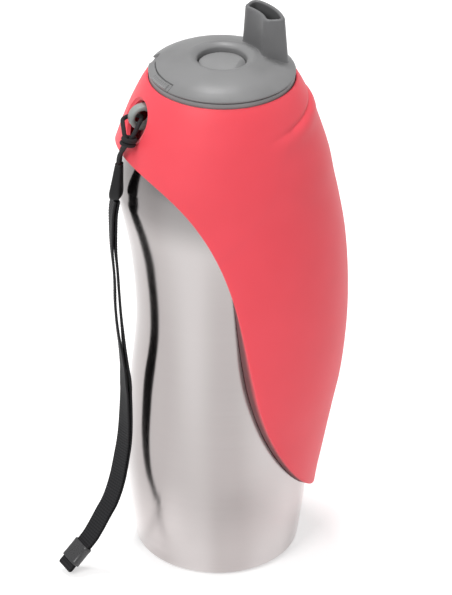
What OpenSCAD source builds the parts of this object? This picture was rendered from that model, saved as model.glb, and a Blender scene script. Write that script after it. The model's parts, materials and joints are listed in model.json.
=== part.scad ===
// Dog travel water bottle: steel bottle, silicone collar with a leaf-shaped bowl that folds
// against it, screw lid with a spout and a push valve, and a wrist strap on an ear.
// Millimetres. +Z is up, the origin is the centre of the base on the floor, and +X points
// at the middle of the leaf.

/* [Bottle] */
// Radius of the foot
base_r = 35; // [33:0.5:37]
// Largest radius of the lower belly
belly_r = 38.7; // [37:0.1:40]
// Radius at the waist
waist_r = 34.7; // [33:0.1:36]
// Largest radius of the shoulder, under the collar
shoulder_r = 42; // [41:0.1:42.4]
// Outer radius of the neck
neck_r = 24.5; // [24:0.1:25]
// Height of the neck's rim
neck_top = 221.4; // [221:0.1:221.6]
// Thickness of the steel
steel_t = 0.8; // [0.6:0.1:1]

/* [Silicone bowl] */
// Thickness of the silicone
skin_t = 2.6; // [2:0.1:2.8]
// Largest radius of the leaf, level with the waist
leaf_r = 53.6; // [51:0.1:56]
// Height of the leaf's tip above the floor
tip_z = 25.5; // [20:0.5:32]
// Height of the fold line at the front
fold_z = 212; // [211:0.5:213]
// Thickness of the wall that turns in along the leaf's edge
rim_t = 2.4; // [1.8:0.1:3]
// Width of the thin web that the leaf folds on
web_w = 2.6; // [2:0.1:3.2]

/* [Lid] */
// Radius of the dome
dome_r = 29.9; // [29.5:0.1:30.2]
// Height of the seam between the dome and the neck ring
seam_z = 222.9; // [222.8:0.1:223]
// Height of the spout's lip
spout_top = 244.8; // [238:0.2:252]
// Half of the angle that the spout spans
spout_half = 31; // [26:1:33]
// Angle at which the lid stops on its thread
lid_angle = 11; // [0:1:20]
// Radius of the push button
button_r = 9.7; // [9.4:0.1:9.8]
// How far the button travels
press_travel = 3; // [2:0.1:3.2]
// Half of the angle that the lock tab spans
tab_half = 25.5; // [16:0.5:27]
// How far the lock tab slides round the dome, in degrees
lock_travel = 12; // [8:1:14]

/* [Ear and strap] */
// Radius of the hole in the ear
ear_hole_r = 3.2; // [3:0.1:3.5]
// Width of the ear
ear_w = 4.4; // [4:0.1:5]
// Diameter of the thin cord
cord_d = 1.8; // [1.6:0.1:2]
// Width of the doubled webbing
strap_w = 7.6; // [6:0.1:8]
// Thickness of the doubled webbing
strap_t = 2.6; // [2:0.1:3]
// Length of the clip on the webbing
clip_l = 9.2; // [8:0.1:11]

/* [Hidden] */
$fn = 96;

steel = "silver";
coral = [0.93, 0.36, 0.39];
grey = [0.55, 0.55, 0.56];
dark = [0.12, 0.12, 0.13];
rubber = [0.85, 0.85, 0.82];

// Radius and height of points down the steel, from the foot to the neck
foot_fillet = 4;
steel_keys = [[base_r, foot_fillet], [(base_r + belly_r) / 2 + 0.6, 24], [belly_r, 50],
    [(belly_r + waist_r) / 2 + 0.4, 80], [waist_r, 110], [waist_r + 2.2, 140],
    [shoulder_r - 0.3, 165], [shoulder_r, 173], [shoulder_r - 1.2, 182],
    [shoulder_r - 5, 194], [31.5, 205], [26.5, 211.5], [neck_r, 214.5]];

// Radius and height of points down the outside of the silicone, from the tip to the neck ring
skin_keys = [[leaf_r - 12.6, tip_z - 2], [leaf_r - 11, 36], [leaf_r - 8.6, 50],
    [leaf_r - 5.1, 70], [leaf_r - 2.2, 86], [leaf_r - 0.6, 102], [leaf_r, 118],
    [leaf_r - 0.6, 136], [leaf_r - 2.2, 152], [48.8, 166], [46.6, 176], [44.6, 186],
    [41.9, 195], [38.4, 205], [35.4, 212], [33.5, 216], [32, 218.7], [30.6, 220.8]];

hinge_x = 35.3;
fold_slope = 0.19;
body_gap = 0.3;
lid_gap = 0.4;
steel_gap = 1;
band_r = 29.6;
band_z = 218.6;
through = 60;

function bezier(p, n, end = 1) = [for (i = [0:n]) let (t = end * i / n, s = 1 - t)
    s * s * s * p[0] + 3 * s * s * t * p[1] + 3 * s * t * t * p[2] + t * t * t * p[3]];

// One span of a smooth curve through b and c, where a and d are the points beside them
function span(a, b, c, d, n) = [for (i = [0:n - 1]) let (t = i / n)
    0.5 * (2 * b + t * (c - a) + t * t * (2 * a - 5 * b + 4 * c - d)
    + t * t * t * (3 * b - a - 3 * c + d))];

function smooth(k, n) = concat([for (i = [0:len(k) - 2])
    each span(k[max(i - 1, 0)], k[i], k[i + 1], k[min(i + 2, len(k) - 1)], n)], [k[len(k) - 1]]);

// A line of points moved sideways by d, to its left
function beside(p, d) = [for (i = [0:len(p) - 1])
    let (v = p[min(i + 1, len(p) - 1)] - p[max(i - 1, 0)]) p[i] + d * [-v.y, v.x] / norm(v)];

function reverse(p) = [for (i = [len(p) - 1:-1:0]) p[i]];

function arc(c, r, from, to, n) = [for (i = [0:n]) let (a = from + (to - from) * i / n)
    c + r * [cos(a), sin(a)]];

steel_line = smooth(steel_keys, 3);
skin_line = smooth(skin_keys, 2);

// The leaf's free edge and its seam with the collar, seen from the side as X and Z
tip_edge = [[leaf_r - 12, tip_z], [24, tip_z + 12.5], [2, 70], [-4.2, 102]];
back_edge = [[-4.2, 102], [-11.5, 130], [-13, 176], [-45, 192.6]];
seam_share = 0.6;
seam_foot = bezier(back_edge, 1, seam_share)[1];
fold_end = [20, fold_z + fold_slope * (20 - hinge_x)];
side_seam = [fold_end, fold_end - [6, 1.1], [13, 180], seam_foot];
front_seam = [through, fold_z + fold_slope * (through - hinge_x)];
seam_line = concat([front_seam], bezier(side_seam, 12));
leaf_edge = concat(bezier(tip_edge, 10), [for (i = [1:8]) bezier(back_edge, 8, seam_share)[i]]);
collar_edge = [for (i = [5:10]) bezier(back_edge, 10)[i]];

module revolve(outline) {
    rotate_extrude() polygon(outline);
}

module side_cut(outline) {
    rotate([90, 0, 0]) linear_extrude(height = 2 * through, center = true) polygon(outline);
}

module ring(inner, outer, low, high) {
    revolve([[inner, low], [outer, low], [outer, high], [inner, high]]);
}

// Outline of the steel's outside, from the axis and back to it, grown by g
function steel_body(g) = concat([[0, -g]], [[base_r - foot_fillet, -g]],
    [for (p = steel_line) p + [g, 0]], [[neck_r + g, neck_top], [0, neck_top]]);

module bottle_shell() {
    bead_z = neck_top - 0.9;
    foot = arc([base_r - foot_fillet, foot_fillet], foot_fillet, -90, -10, 5);
    wall = concat(foot, steel_line, arc([neck_r, bead_z], 0.5, -90, 90, 6), [[neck_r, neck_top]]);
    inside = concat([[0, 1.2], [20, 1.2], [21.2, 2.4], [26.8, 2.4], [28, 1.2],
        [base_r - foot_fillet, 1.2]], [[base_r - foot_fillet + 2.4, 2.2]],
        beside(steel_line, steel_t), [[neck_r - steel_t, neck_top]]);
    color(steel) revolve(concat([[0, 0], [20.6, 0], [21.8, 1.2], [26.2, 1.2], [27.4, 0]], wall,
        reverse(inside)));
}

ear_x = -34.5;
ear_z = 207.8;
ear_bar = 2.2;

module neck_ring() {
    sleeve_r = neck_r + 0.1;
    step_r = 25.9;
    color(grey) difference() {
        union() {
            revolve([[sleeve_r, 214.9], [27.6, 214.9], [28.6, 216], [28.6, band_z],
                [band_r - 0.4, band_z], [band_r, band_z + 0.4], [band_r, seam_z - lid_gap - 0.3],
                [band_r - 0.3, seam_z - lid_gap], [step_r, seam_z - lid_gap],
                [step_r, neck_top - 0.2], [neck_r + 0.65, neck_top - 0.2],
                [neck_r + 0.65, neck_top - 1.6], [sleeve_r, neck_top - 1.9]]);
            translate([ear_x, 0, ear_z]) rotate([90, 0, 0]) rotate_extrude()
                translate([ear_hole_r, 0]) ear_section();
            translate([ear_x - 1, -ear_w / 2, ear_z + ear_hole_r - 0.1])
                cube([10, ear_w, ear_bar]);
            translate([-29, -ear_w / 2, ear_z + ear_hole_r - 0.1])
                cube([4, ear_w, 216.6 - ear_z - ear_hole_r]);
        }
        revolve(steel_body(0.1));
    }
}

// The ear's bar, flat with rounded outer corners
module ear_section() {
    r = 0.8;
    h = ear_w / 2;
    polygon(concat([[0, -h]], arc([ear_bar - r, -h + r], r, -90, 0, 4),
        arc([ear_bar - r, h - r], r, 0, 90, 4), [[0, h]]));
}

// The silicone as a whole skin of revolution
module skin(t = skin_t, inset = 0) {
    outer = beside(skin_line, inset);
    revolve(concat(outer, reverse(beside(skin_line, inset + t))));
}

// Everything under the collar, seen from the side
under_collar = concat(beside(seam_line, -body_gap / 2), [for (p = collar_edge) if (p.x < seam_foot.x - 1) p],
    [[-through, 192], [-through, 0], [through, 0]]);

// The leaf's field, seen from the side: below the seam by d and inside the free edge
function leaf_field(d) = concat(beside(seam_line, d), reverse(leaf_edge), [[through, tip_z]]);

module bowl_collar() {
    front_gap = web_w / 2;
    color(coral) difference() {
        skin();
        side_cut(under_collar);
        side_cut(web_field(front_gap, front_gap));
        ring(0, band_r + 0.15, band_z - 0.3, 230);
        ear_opening();
    }
}

// A strip along the fold line, d1 above it and d2 below it
function web_field(d1, d2) = [front_seam + [0, d1], fold_end + [0, d1], fold_end - [0, d2],
    front_seam - [0, d2]];

module ear_opening() {
    translate([ear_x, 0, 206.5]) rotate([0, 25, 0]) scale([1, 0.82, 1])
        rotate([0, -90, 0]) cylinder(r = 8.8, h = 14, center = true);
    translate([-69, 0, 218.1]) sphere(35.7);
}

module fold_web() {
    color(coral) intersection() {
        skin(1.2, 0.7);
        side_cut(web_field(web_w / 2 - 0.03, web_w / 2 - 0.03));
    }
}

module bowl_leaf() {
    color(coral) difference() {
        intersection() {
            union() {
                skin();
                leaf_rim();
            }
            side_cut(leaf_field(body_gap / 2));
        }
        side_cut(web_field(web_w / 2, web_w / 2));
    }
}

// The wall along the leaf's edge, which turns in and stops short of the steel
module leaf_rim() {
    difference() {
        intersection() {
            revolve(concat([[0, 0]], beside(skin_line, skin_t / 2), [[0, band_z]]));
            side_cut(concat(leaf_edge, reverse(beside(leaf_edge, -rim_t))));
        }
        revolve(steel_body(steel_gap));
        rotate([90, 0, -90]) linear_extrude(height = through)
            polygon(concat(steel_body(steel_gap),
            reverse([for (p = steel_body(steel_gap)) [-p.x, p.y]])));
    }
}

module lid_part() {
    rotate([0, 0, lid_angle]) children();
}

plug_r = neck_r - steel_t - 0.5;
plug_in = plug_r - 2.2;
floor_z = 207.6;
flange_r = 25.4;
flange_z = [221.9, 223.9];
seat_r = 10;
port_r = 7;

module lid_base() {
    color(grey) lid_part() difference() {
        revolve([[seat_r, floor_z], [plug_r - 1, floor_z], [plug_r, floor_z + 1],
            [plug_r, flange_z[0]], [flange_r, flange_z[0]], [flange_r, flange_z[1]],
            [plug_in, flange_z[1]], [plug_in, floor_z + 2.2], [seat_r, floor_z + 2.2]]);
        ring(plug_r - 0.6, neck_r + 0.2, neck_top - 1, neck_top + 1.3);
        ring(flange_r - 1.1, flange_r + 1, 222.9, 223.7);
    }
}

module seal_gasket() {
    color(rubber) ring(plug_r - 0.5, neck_r + 0.1, neck_top, neck_top + 1.2);
}

module dome_seal() {
    color(rubber) lid_part() ring(flange_r - 1.05, flange_r + 0.05, 222.95, 223.65);
}

// Outside of the dome from its edge to the crest round the button
dome_keys = [[dome_r, seam_z], [dome_r - 0.2, seam_z + 0.5], [dome_r - 1.3, 224.1], [26, 225.5],
    [22, 227.3], [18, 228.75], [15, 229.65], [13, 230], [11.4, 230], [10.5, 229.6],
    [10.15, 228.9]];
boss_r = button_r + 0.4;
tab_middle = 191.5 - tab_half;
notch = [tab_middle - tab_half - lock_travel - 1.2, tab_middle + tab_half + 0.6];

module dome_solid() {
    revolve(concat(smooth(dome_keys, 3), [[boss_r, 228], [boss_r, 222.5], [boss_r + 1.9, 222.5],
        [boss_r + 1.9, 226.6], [16.5, 227], [22, 225.3], [24.6, 224.4], [25.5, 224.1],
        [25.5, seam_z]]));
}

// Outline of the spout's section in plan, at s of its full size
function kidney(r1, r2, half, c) = let (
    a1 = half - asin(c / (r1 + c)), a2 = half - asin(c / (r2 - c)),
    n = 10, k = 5)
    concat([for (i = [0:n]) let (a = -a1 + 2 * a1 * i / n) r1 * [cos(a), sin(a)]],
    [for (i = [1:k]) let (a = a1, b = 180 + a1 - (90 * i / k)) (r1 + c) * [cos(a), sin(a)]
    + c * [cos(b), sin(b)]],
    [for (i = [0:k]) let (a = a2, b = 90 + a2 - 90 * i / k) (r2 - c) * [cos(a), sin(a)]
    + c * [cos(b), sin(b)]],
    [for (i = [1:n]) let (a = a2 - 2 * a2 * i / n) r2 * [cos(a), sin(a)]],
    [for (i = [1:k]) let (a = -a2, b = -a2 - 90 * i / k) (r2 - c) * [cos(a), sin(a)]
    + c * [cos(b), sin(b)]],
    [for (i = [0:k - 1]) let (a = -a1, b = -90 - a1 - 90 * i / k) (r1 + c) * [cos(a), sin(a)]
    + c * [cos(b), sin(b)]]);

spout_in = 16.2;
spout_out = 26.9;
spout_wall = 1.7;
spout_foot = 224;
taper_z = 228.2;

// The spout's section at height z, inset by w from its outside
function spout_ring(z, w) = let (t = max(0, z - taper_z) / (spout_top - taper_z))
    [for (p = kidney(spout_in + w + 0.3 * t, spout_out - w - 1.5 * t,
    spout_half - 2.6 * t - 57.3 * w / 21.5, 3 - w * 0.7)) [p.x, p.y, z]];

module lid_dome() {
    color(grey) lid_part() difference() {
        dome_solid();
        translate([0, 0, spout_foot - 2]) linear_extrude(height = 10)
            polygon([for (p = spout_ring(spout_foot, -0.04)) [p.x, p.y]]);
        rotate([0, 0, notch[0]]) rotate_extrude(angle = notch[1] - notch[0])
            polygon([[26.8, seam_z - 1], [dome_r + 1, seam_z - 1], [dome_r + 1, 226], [26.8, 226]]);
        rotate([0, 0, notch[0]]) rotate_extrude(angle = notch[1] - notch[0])
            polygon([[26.1, 222.8], [27, 222.8], [27, 224], [26.1, 224]]);
    }
}

// A closed tube of matching rings, outside going up and inside coming down
module loft(rings) {
    n = len(rings[0]);
    m = len(rings);
    polyhedron(points = [for (r = rings) each r], faces = [for (j = [0:m - 1]) for (i = [0:n - 1])
        let (a = j * n + i, b = j * n + (i + 1) % n, c = ((j + 1) % m) * n)
        each [[a, c + i, b], [b, c + i, c + (i + 1) % n]]]);
}

module spout() {
    color(grey) lid_part() loft([
        for (z = [spout_foot, taper_z, taper_z + 8, spout_top - 0.5]) spout_ring(z, 0),
        spout_ring(spout_top, 0.5), spout_ring(spout_top, spout_wall - 0.5),
        for (z = [spout_top - 0.5, taper_z + 8, taper_z, spout_foot]) spout_ring(z, spout_wall)]);
}

module lock_slider() {
    grip = [165, 189];
    color(grey) lid_part() {
        rotate([0, 0, tab_middle - tab_half]) rotate_extrude(angle = 2 * tab_half)
            polygon([[26.4, 223.1], [27.1, 223.1], [27.1, seam_z], [dome_r, seam_z],
                [dome_r - 0.2, seam_z + 0.5], [dome_r - 1.3, 224.1], [27.1, 224.8],
                [27.1, 223.7], [26.4, 223.7]]);
        rotate([0, 0, grip[0]]) rotate_extrude(angle = grip[1] - grip[0])
            polygon([[dome_r - 0.6, seam_z + 0.3], [dome_r + 0.35, seam_z + 0.3],
                [dome_r - 1.1, 224.3], [dome_r - 2, 224]]);
    }
}

button_z = 226.5;
button_rim = 221.2;

module press_button() {
    notch_angle = -48;
    color(grey) lid_part() difference() {
        revolve(concat([[0, button_z + 0.4], [0, 224.6], [8, 224.6], [8, button_rim],
            [button_r + 1.3, button_rim], [button_r + 1.3, button_rim + 0.9],
            [button_r, button_rim + 0.9], [button_r, 223.4], [button_r - 0.6, 223.4],
            [button_r - 0.6, 224.3], [button_r, 224.3], [button_r, button_z - 0.4]],
            arc([button_r - 0.4, button_z - 0.4], 0.4, 0, 80, 4), [[5, button_z + 0.3]]));
        rotate([0, 0, notch_angle]) translate([5.6, -10, button_z + 0.25]) rotate([0, 18, 0])
            cube([8, 20, 4]);
        translate([0, 0, 223]) cylinder(r = 2, h = 2.4);
    }
}

module button_seal() {
    color(rubber) lid_part() ring(button_r - 0.58, button_r + 0.2, 223.45, 224.25);
}

guide_z = [213.4, 216];
stem_r = 1.95;

module stem_guide() {
    color(grey) lid_part() {
        ring(stem_r + 0.15, 6.4, guide_z[0], guide_z[1]);
        for (a = [60, 180, 300]) rotate([0, 0, a]) difference() {
            translate([6.2, -1.6, guide_z[0]]) cube([plug_in - 6.3, 3.2, 1.8]);
            translate([plug_in - 3.4, 0, guide_z[0] - 1]) cylinder(r = 1.05, h = 4);
        }
        for (a = [60, 180, 300]) rotate([0, 0, a])
            translate([plug_in - 3.4, 0, 0]) ring(1.05, 2.2, floor_z + 2.2, guide_z[0]);
    }
}

module guide_screws() {
    color("silver") lid_part() for (a = [60, 180, 300]) rotate([0, 0, a])
        translate([plug_in - 3.4, 0, 0]) {
            translate([0, 0, floor_z + 2.8]) cylinder(r = 1, h = guide_z[0] + 1.8 - floor_z - 2.8);
            translate([0, 0, guide_z[0] + 1.8]) cylinder(r = 1.9, h = 1.2);
        }
}

disc_z = 204.2;

module valve_stem() {
    color(grey) lid_part() difference() {
        translate([0, 0, disc_z + 1.6]) cylinder(r = stem_r, h = 225.3 - disc_z - 1.6);
        translate([0, 0, disc_z]) cylinder(r = 0.8, h = 6);
    }
}

module valve_seat() {
    color(rubber) lid_part() revolve([[port_r, floor_z - 0.4], [seat_r + 1.2, floor_z - 0.4],
        [seat_r + 1.2, floor_z], [seat_r, floor_z], [seat_r, floor_z + 2.2],
        [port_r + 0.6, floor_z + 2.2], [port_r, floor_z + 1.4]]);
}

module valve_disc() {
    color(grey) lid_part() revolve([[0.9, disc_z], [7.6, disc_z], [8.8, disc_z + 0.8],
        [8.8, disc_z + 1.6], [0.9, disc_z + 1.6]]);
}

module valve_seal() {
    color(rubber) lid_part() ring(7.1, 8.8, disc_z + 1.6, floor_z - 0.4);
}

module valve_screw() {
    color("silver") lid_part() {
        translate([0, 0, disc_z]) cylinder(r = 0.78, h = 5.6);
        translate([0, 0, disc_z - 1.2]) cylinder(r = 1.8, h = 1.2);
    }
}

// A closed tube swept through points, with sections of n corners that frame() places
module sweep(sections) {
    n = len(sections[0]);
    m = len(sections);
    polyhedron(points = [for (s = sections) each s], faces = concat([[for (i = [0:n - 1]) i]],
        [[for (i = [n - 1:-1:0]) (m - 1) * n + i]],
        [for (j = [0:m - 2]) for (i = [0:n - 1])
        let (a = j * n + i, b = j * n + (i + 1) % n) each [[a, a + n, b], [b, a + n, b + n]]]));
}

function unit(v) = v / norm(v);
function tangent(p, i) = unit(p[min(i + 1, len(p) - 1)] - p[max(i - 1, 0)]);

// Sideways vectors that turn as little as possible from each point to the next
function level(v, t) = unit(v - (v * t) * t);
function sideways(p, start, i = 0, out = []) = i == len(p) ? out
    : sideways(p, start, i + 1, concat(out, [level(i == 0 ? start : out[i - 1], tangent(p, i))]));

function round_tube(p, r, n, start) = let (u = sideways(p, start)) [for (i = [0:len(p) - 1])
    let (t = tangent(p, i), v = cross(t, u[i])) [for (k = [0:n - 1]) let (a = 360 * k / n)
    p[i] + r * (cos(a) * u[i] + sin(a) * v)]];

module button_spring() {
    turns = 5;
    steps = 9;
    low = guide_z[1] + 0.5;
    rise = (224.6 - 0.5 - low) / (turns * steps);
    coil = [for (i = [0:turns * steps]) [5.2 * cos(360 * i / steps), 5.2 * sin(360 * i / steps),
        low + rise * i]];
    color("silver") lid_part() sweep(round_tube(coil, 0.42, 6, [1, 0, 0]));
}

// Route of the thin cord: up from the sleeve, through the ear, round it and back down
cord_route = [[-44.2, -1.3, 190.2], [-44.1, -2, 193.5], [-43.9, -3.8, 197.2], [-43.2, -6.4, 200.4],
    [-41.8, -8, 203], [-39.8, -7.2, 205.2], [-37.8, -5.2, 206.9], [-35.9, -3, 207.8],
    [-34.6, 0, 207.8], [-35.8, 3.2, 207.2], [-38.8, 4.4, 206.6], [-41.9, 3, 206.8],
    [-43.5, -0.4, 207.3], [-44.5, -4, 206.6], [-44.7, -7, 204.6], [-44, -8.8, 201.8],
    [-44.6, -7.2, 198.6], [-45.4, -5.3, 195.6], [-45.5, -3.6, 192.7], [-45.4, -2.9, 190.3]];

// The turns of cord that tie the two strands: centre, the strands' direction, half their width
tie = [[-42.95, -8.3, 202.1], unit([0.35, 0, 0.93]), [3.1, 2]];

module cord_loop() {
    n = tie[1];
    across = level([-2.2, -0.8, -1.2], n);
    turn = [for (k = [0:15]) let (a = 22.5 * k)
        tie[0] + tie[2][0] * cos(a) * across + tie[2][1] * sin(a) * cross(n, across)];
    color(dark) {
        sweep(round_tube(smooth(cord_route, 2), cord_d / 2, 8, [1, 0, 0]));
        for (up = [-0.95, 0.95]) translate(up * n)
            loft([for (k = [0:15]) let (t = unit(turn[(k + 1) % 16] - turn[(k + 15) % 16]),
            v = cross(t, n)) [for (j = [0:7]) let (a = 45 * j)
            turn[k] + cord_d / 2 * (cos(a) * n + sin(a) * v)]]);
    }
}

sleeve_top = [-44.8, -2.1, 189.2];
sleeve_foot = [-46.5, -2.4, 174.1];

// A flat block with rounded edges, lying in the plane of its width and its run
module pad(w, t, h) {
    hull() for (x = [-1, 1]) for (y = [-1, 1])
        translate([x * (w / 2 - 0.9), y * (t / 2 - 0.9), 0]) cylinder(r = 0.9, h = h, $fn = 16);
}

module cord_sleeve() {
    color(dark) hull() {
        translate(sleeve_top) rotate([0, 6, 0]) rotate([0, 0, 53]) pad(4.4, 2.9, 0.6);
        translate(sleeve_foot) rotate([0, 6, 0]) rotate([0, 0, 53]) pad(6.5, 4.2, 0.6);
        translate(sleeve_foot + [0.3, 0, 2.6]) rotate([0, 6, 0]) rotate([0, 0, 53])
            pad(6.9, 4.6, 0.6);
    }
}

strap_end = [-71.6, -8, 3.1];
slide_way = unit([-11.1, -0.65, -12]);

// Route of the webbing from the sleeve to its looped end, with how far it has turned
strap_route = [[-46.6, -2.4, 173.8, 74], [-47.5, -2.5, 168, 76], [-47.7, -2.6, 162, 78],
    [-47.6, -2.8, 151, 82], [-46.6, -3, 138, 85], [-46.1, -3.4, 124, 85],
    [-45.2, -3.7, 112.5, 82], [-43.8, -4.1, 99, 76], [-43, -4.5, 88, 69], [-43.1, -5, 74, 59],
    [-43.9, -5.6, 61, 50], [-45.5, -6, 51, 45], [-47.6, -6.4, 41, 42],
    [-50.6, -6.7, 32, 42], [-54.2, -7, 25.6, 42], [-57.8, -7.2, 19.2, 42],
    for (s = [16, 8, 0]) each [concat(strap_end - s * slide_way, 42)]];

// One section of the webbing: its width runs level with the picture's edge, then turned
function web_section(p, t, turn, w, h) = let (
    right = level([0.934, -0.358, 0], t), away = cross(t, right),
    u = cos(turn) * right + sin(turn) * away, v = cross(t, u), c = 0.5)
    [for (q = [[-1, -1, 1, 0], [1, -1, -1, 0], [1, -1, 0, 1], [1, 1, 0, -1], [1, 1, -1, 0],
    [-1, 1, 1, 0], [-1, 1, 0, -1], [-1, -1, 0, 1]])
    p + (q[0] * w / 2 + q[2] * c) * u + (q[1] * h / 2 + q[3] * c) * v];

function strap_path() = smooth(strap_route, 2);

module wrist_strap() {
    path = strap_path();
    spots = [for (q = path) [q.x, q.y, q.z]];
    color(dark) sweep([for (i = [0:len(path) - 1])
        web_section(spots[i], tangent(spots, i), path[i][3], strap_w, strap_t)]);
}

module strap_slider() {
    middle = strap_end - 8 * slide_way;
    turn = 42;
    slot = 0.3;
    color(dark) difference() {
        sweep([for (s = [-1, 1]) web_section(middle + s * clip_l / 2 * slide_way, slide_way, turn,
            strap_w + 1.8, strap_t + 1.8)]);
        sweep([for (s = [-1, 1]) web_section(middle + s * clip_l * slide_way, slide_way, turn,
            strap_w + 2 * slot, strap_t + 2 * slot)]);
    }
}

bottle_shell();
neck_ring();
bowl_collar();
fold_web();
bowl_leaf();
lid_base();
seal_gasket();
dome_seal();
lid_dome();
spout();
lock_slider();
press_button();
button_seal();
button_spring();
stem_guide();
guide_screws();
valve_stem();
valve_seat();
valve_disc();
valve_seal();
valve_screw();
cord_loop();
cord_sleeve();
wrist_strap();
strap_slider();
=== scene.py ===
import json
import math

import bmesh
import bpy
import numpy as np
from mathutils import Matrix, Vector


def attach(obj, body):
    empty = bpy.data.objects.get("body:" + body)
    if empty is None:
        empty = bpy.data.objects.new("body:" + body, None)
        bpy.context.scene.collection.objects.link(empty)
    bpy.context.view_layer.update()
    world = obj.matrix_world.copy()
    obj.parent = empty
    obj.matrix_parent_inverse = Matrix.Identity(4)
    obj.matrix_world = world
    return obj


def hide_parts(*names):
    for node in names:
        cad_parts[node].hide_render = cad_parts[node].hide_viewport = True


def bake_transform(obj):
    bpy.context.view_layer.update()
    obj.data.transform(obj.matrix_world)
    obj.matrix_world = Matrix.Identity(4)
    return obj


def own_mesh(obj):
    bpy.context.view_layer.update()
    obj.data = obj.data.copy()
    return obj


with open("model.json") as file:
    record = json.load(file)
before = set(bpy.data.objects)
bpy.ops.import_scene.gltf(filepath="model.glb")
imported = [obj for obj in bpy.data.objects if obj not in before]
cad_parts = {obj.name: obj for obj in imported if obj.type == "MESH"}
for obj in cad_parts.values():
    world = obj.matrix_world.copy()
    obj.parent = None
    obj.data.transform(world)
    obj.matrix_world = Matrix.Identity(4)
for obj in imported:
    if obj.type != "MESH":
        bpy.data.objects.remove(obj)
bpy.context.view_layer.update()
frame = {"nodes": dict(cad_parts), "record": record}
print("frame loaded:", len(frame["nodes"]), "nodes")

mm = 0.001  # lengths in the pieces' dictionaries are millimetres
scene = bpy.context.scene
scene.view_settings.view_transform = "Standard"

# Camera

cameraForm = {
    "place": (-501.72, -1307.01, 933.49),  # millimetres
    "heading": 21.114,  # degrees from +Y towards +X
    "pitch": 30.259,  # degrees below the horizon
    "roll": 0.747,  # degrees
    "lens": 235.07,
    "sensor": 36,
    "clip": (0.05, 50),  # metres
}


# Camera that looks along its heading and pitch; its right and up are square to that, and turned by the roll
def makeCamera(form):
    heading, pitch, roll = (math.radians(form[k]) for k in ("heading", "pitch", "roll"))
    level = math.cos(pitch)
    ahead = Vector((math.sin(heading) * level, math.cos(heading) * level, -math.sin(pitch)))
    flatRight = ahead.cross(Vector((0, 0, 1))).normalized()
    flatUp = flatRight.cross(ahead)
    right = flatRight * math.cos(roll) + flatUp * math.sin(roll)
    up = flatUp * math.cos(roll) - flatRight * math.sin(roll)
    data = bpy.data.cameras.new("camera")
    data.lens, data.sensor_width = form["lens"], form["sensor"]
    data.clip_start, data.clip_end = form["clip"]
    camera = bpy.data.objects.new("camera", data)
    turn = Matrix((right, up, -ahead)).transposed().to_4x4()
    camera.matrix_world = Matrix.Translation(Vector(form["place"]) * mm) @ turn
    scene.collection.objects.link(camera)
    scene.camera = camera
    print("camera made")


makeCamera(cameraForm)

# Curves and surfaces


# Catmull-Rom curve through the keys, steps points to a span, as one array
def smoothLine(keys, steps):
    k = np.array(keys, float)
    padded = np.vstack([k[:1], k, k[-1:]])
    t = (np.arange(steps) / steps)[None, :, None]
    a, b, c, d = (padded[i : len(k) - 1 + i][:, None, :] for i in range(4))
    spans = 0.5 * (2 * b + t * (c - a) + t**2 * (2 * a - 5 * b + 4 * c - d) + t**3 * (3 * b - a - 3 * c + d))
    return np.vstack([spans.reshape(-1, k.shape[1]), k[-1:]])


# Cubic Bezier curve: the four points weighted by (1-t)^3, 3(1-t)^2 t, 3(1-t)t^2 and t^3
def bezier(points, count):
    p = np.array(points, float)
    t = np.linspace(0, 1, count)[:, None]
    return (1 - t) ** 3 * p[0] + 3 * (1 - t) ** 2 * t * p[1] + 3 * (1 - t) * t**2 * p[2] + t**3 * p[3]


# Distance from the first point to each point, along the line
def lengthAlong(line):
    return np.concatenate([[0], np.cumsum(np.linalg.norm(np.diff(line, axis=0), axis=1))])


# A table's columns read off at the places where, when its rows stand at the places along
def readOff(table, along, where):
    return np.stack([np.interp(where, along, column) for column in table.T], axis=1)


# Vectors divided by their lengths
def unit(v):
    return v / np.maximum(np.linalg.norm(v, axis=-1, keepdims=True), 1e-12)


# Directions along a line, from the differences between neighbouring points
def tangents(line):
    return unit(np.gradient(line, axis=0))


# Flat line moved to its left by the distance
def sideways(line, distance):
    way = np.gradient(line, axis=0)
    return line + distance * unit(np.stack([-way[:, 1], way[:, 0]], axis=1))


# The line with its first point again at the end
def closed(line):
    return np.vstack([line, line[:1]])


# Flat outline raised to a height
def atHeight(flat, z):
    return np.hstack([flat, np.full((len(flat), 1), z)])


# Points at a radius, azimuth and height: the radius times cosine and sine of the azimuth
def polar(radius, angle, z):
    return np.stack(np.broadcast_arrays(radius * np.cos(angle), radius * np.sin(angle), z), axis=-1)


# Surface of revolution: each profile point (radius, height) carried round Z
def around(profile, count=192):
    r, z = np.asarray(profile, float).T
    return polar(r[:, None], np.linspace(0, 2 * math.pi, count + 1), z[:, None])


# Closed outline of a rectangle with round corners: four quarter circles about the corners' centres
def roundedBox(width, height, radius, steps=6):
    quarters = []
    for x, y, start in [(1, 1, 0), (-1, 1, 90), (-1, -1, 180), (1, -1, 270)]:
        turn = np.radians(start + np.linspace(0, 90, steps))
        centre = [x * (width / 2 - radius), y * (height / 2 - radius)]
        quarters.append(centre + radius * np.stack([np.cos(turn), np.sin(turn)], axis=1))
    return closed(np.vstack(quarters))


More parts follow.
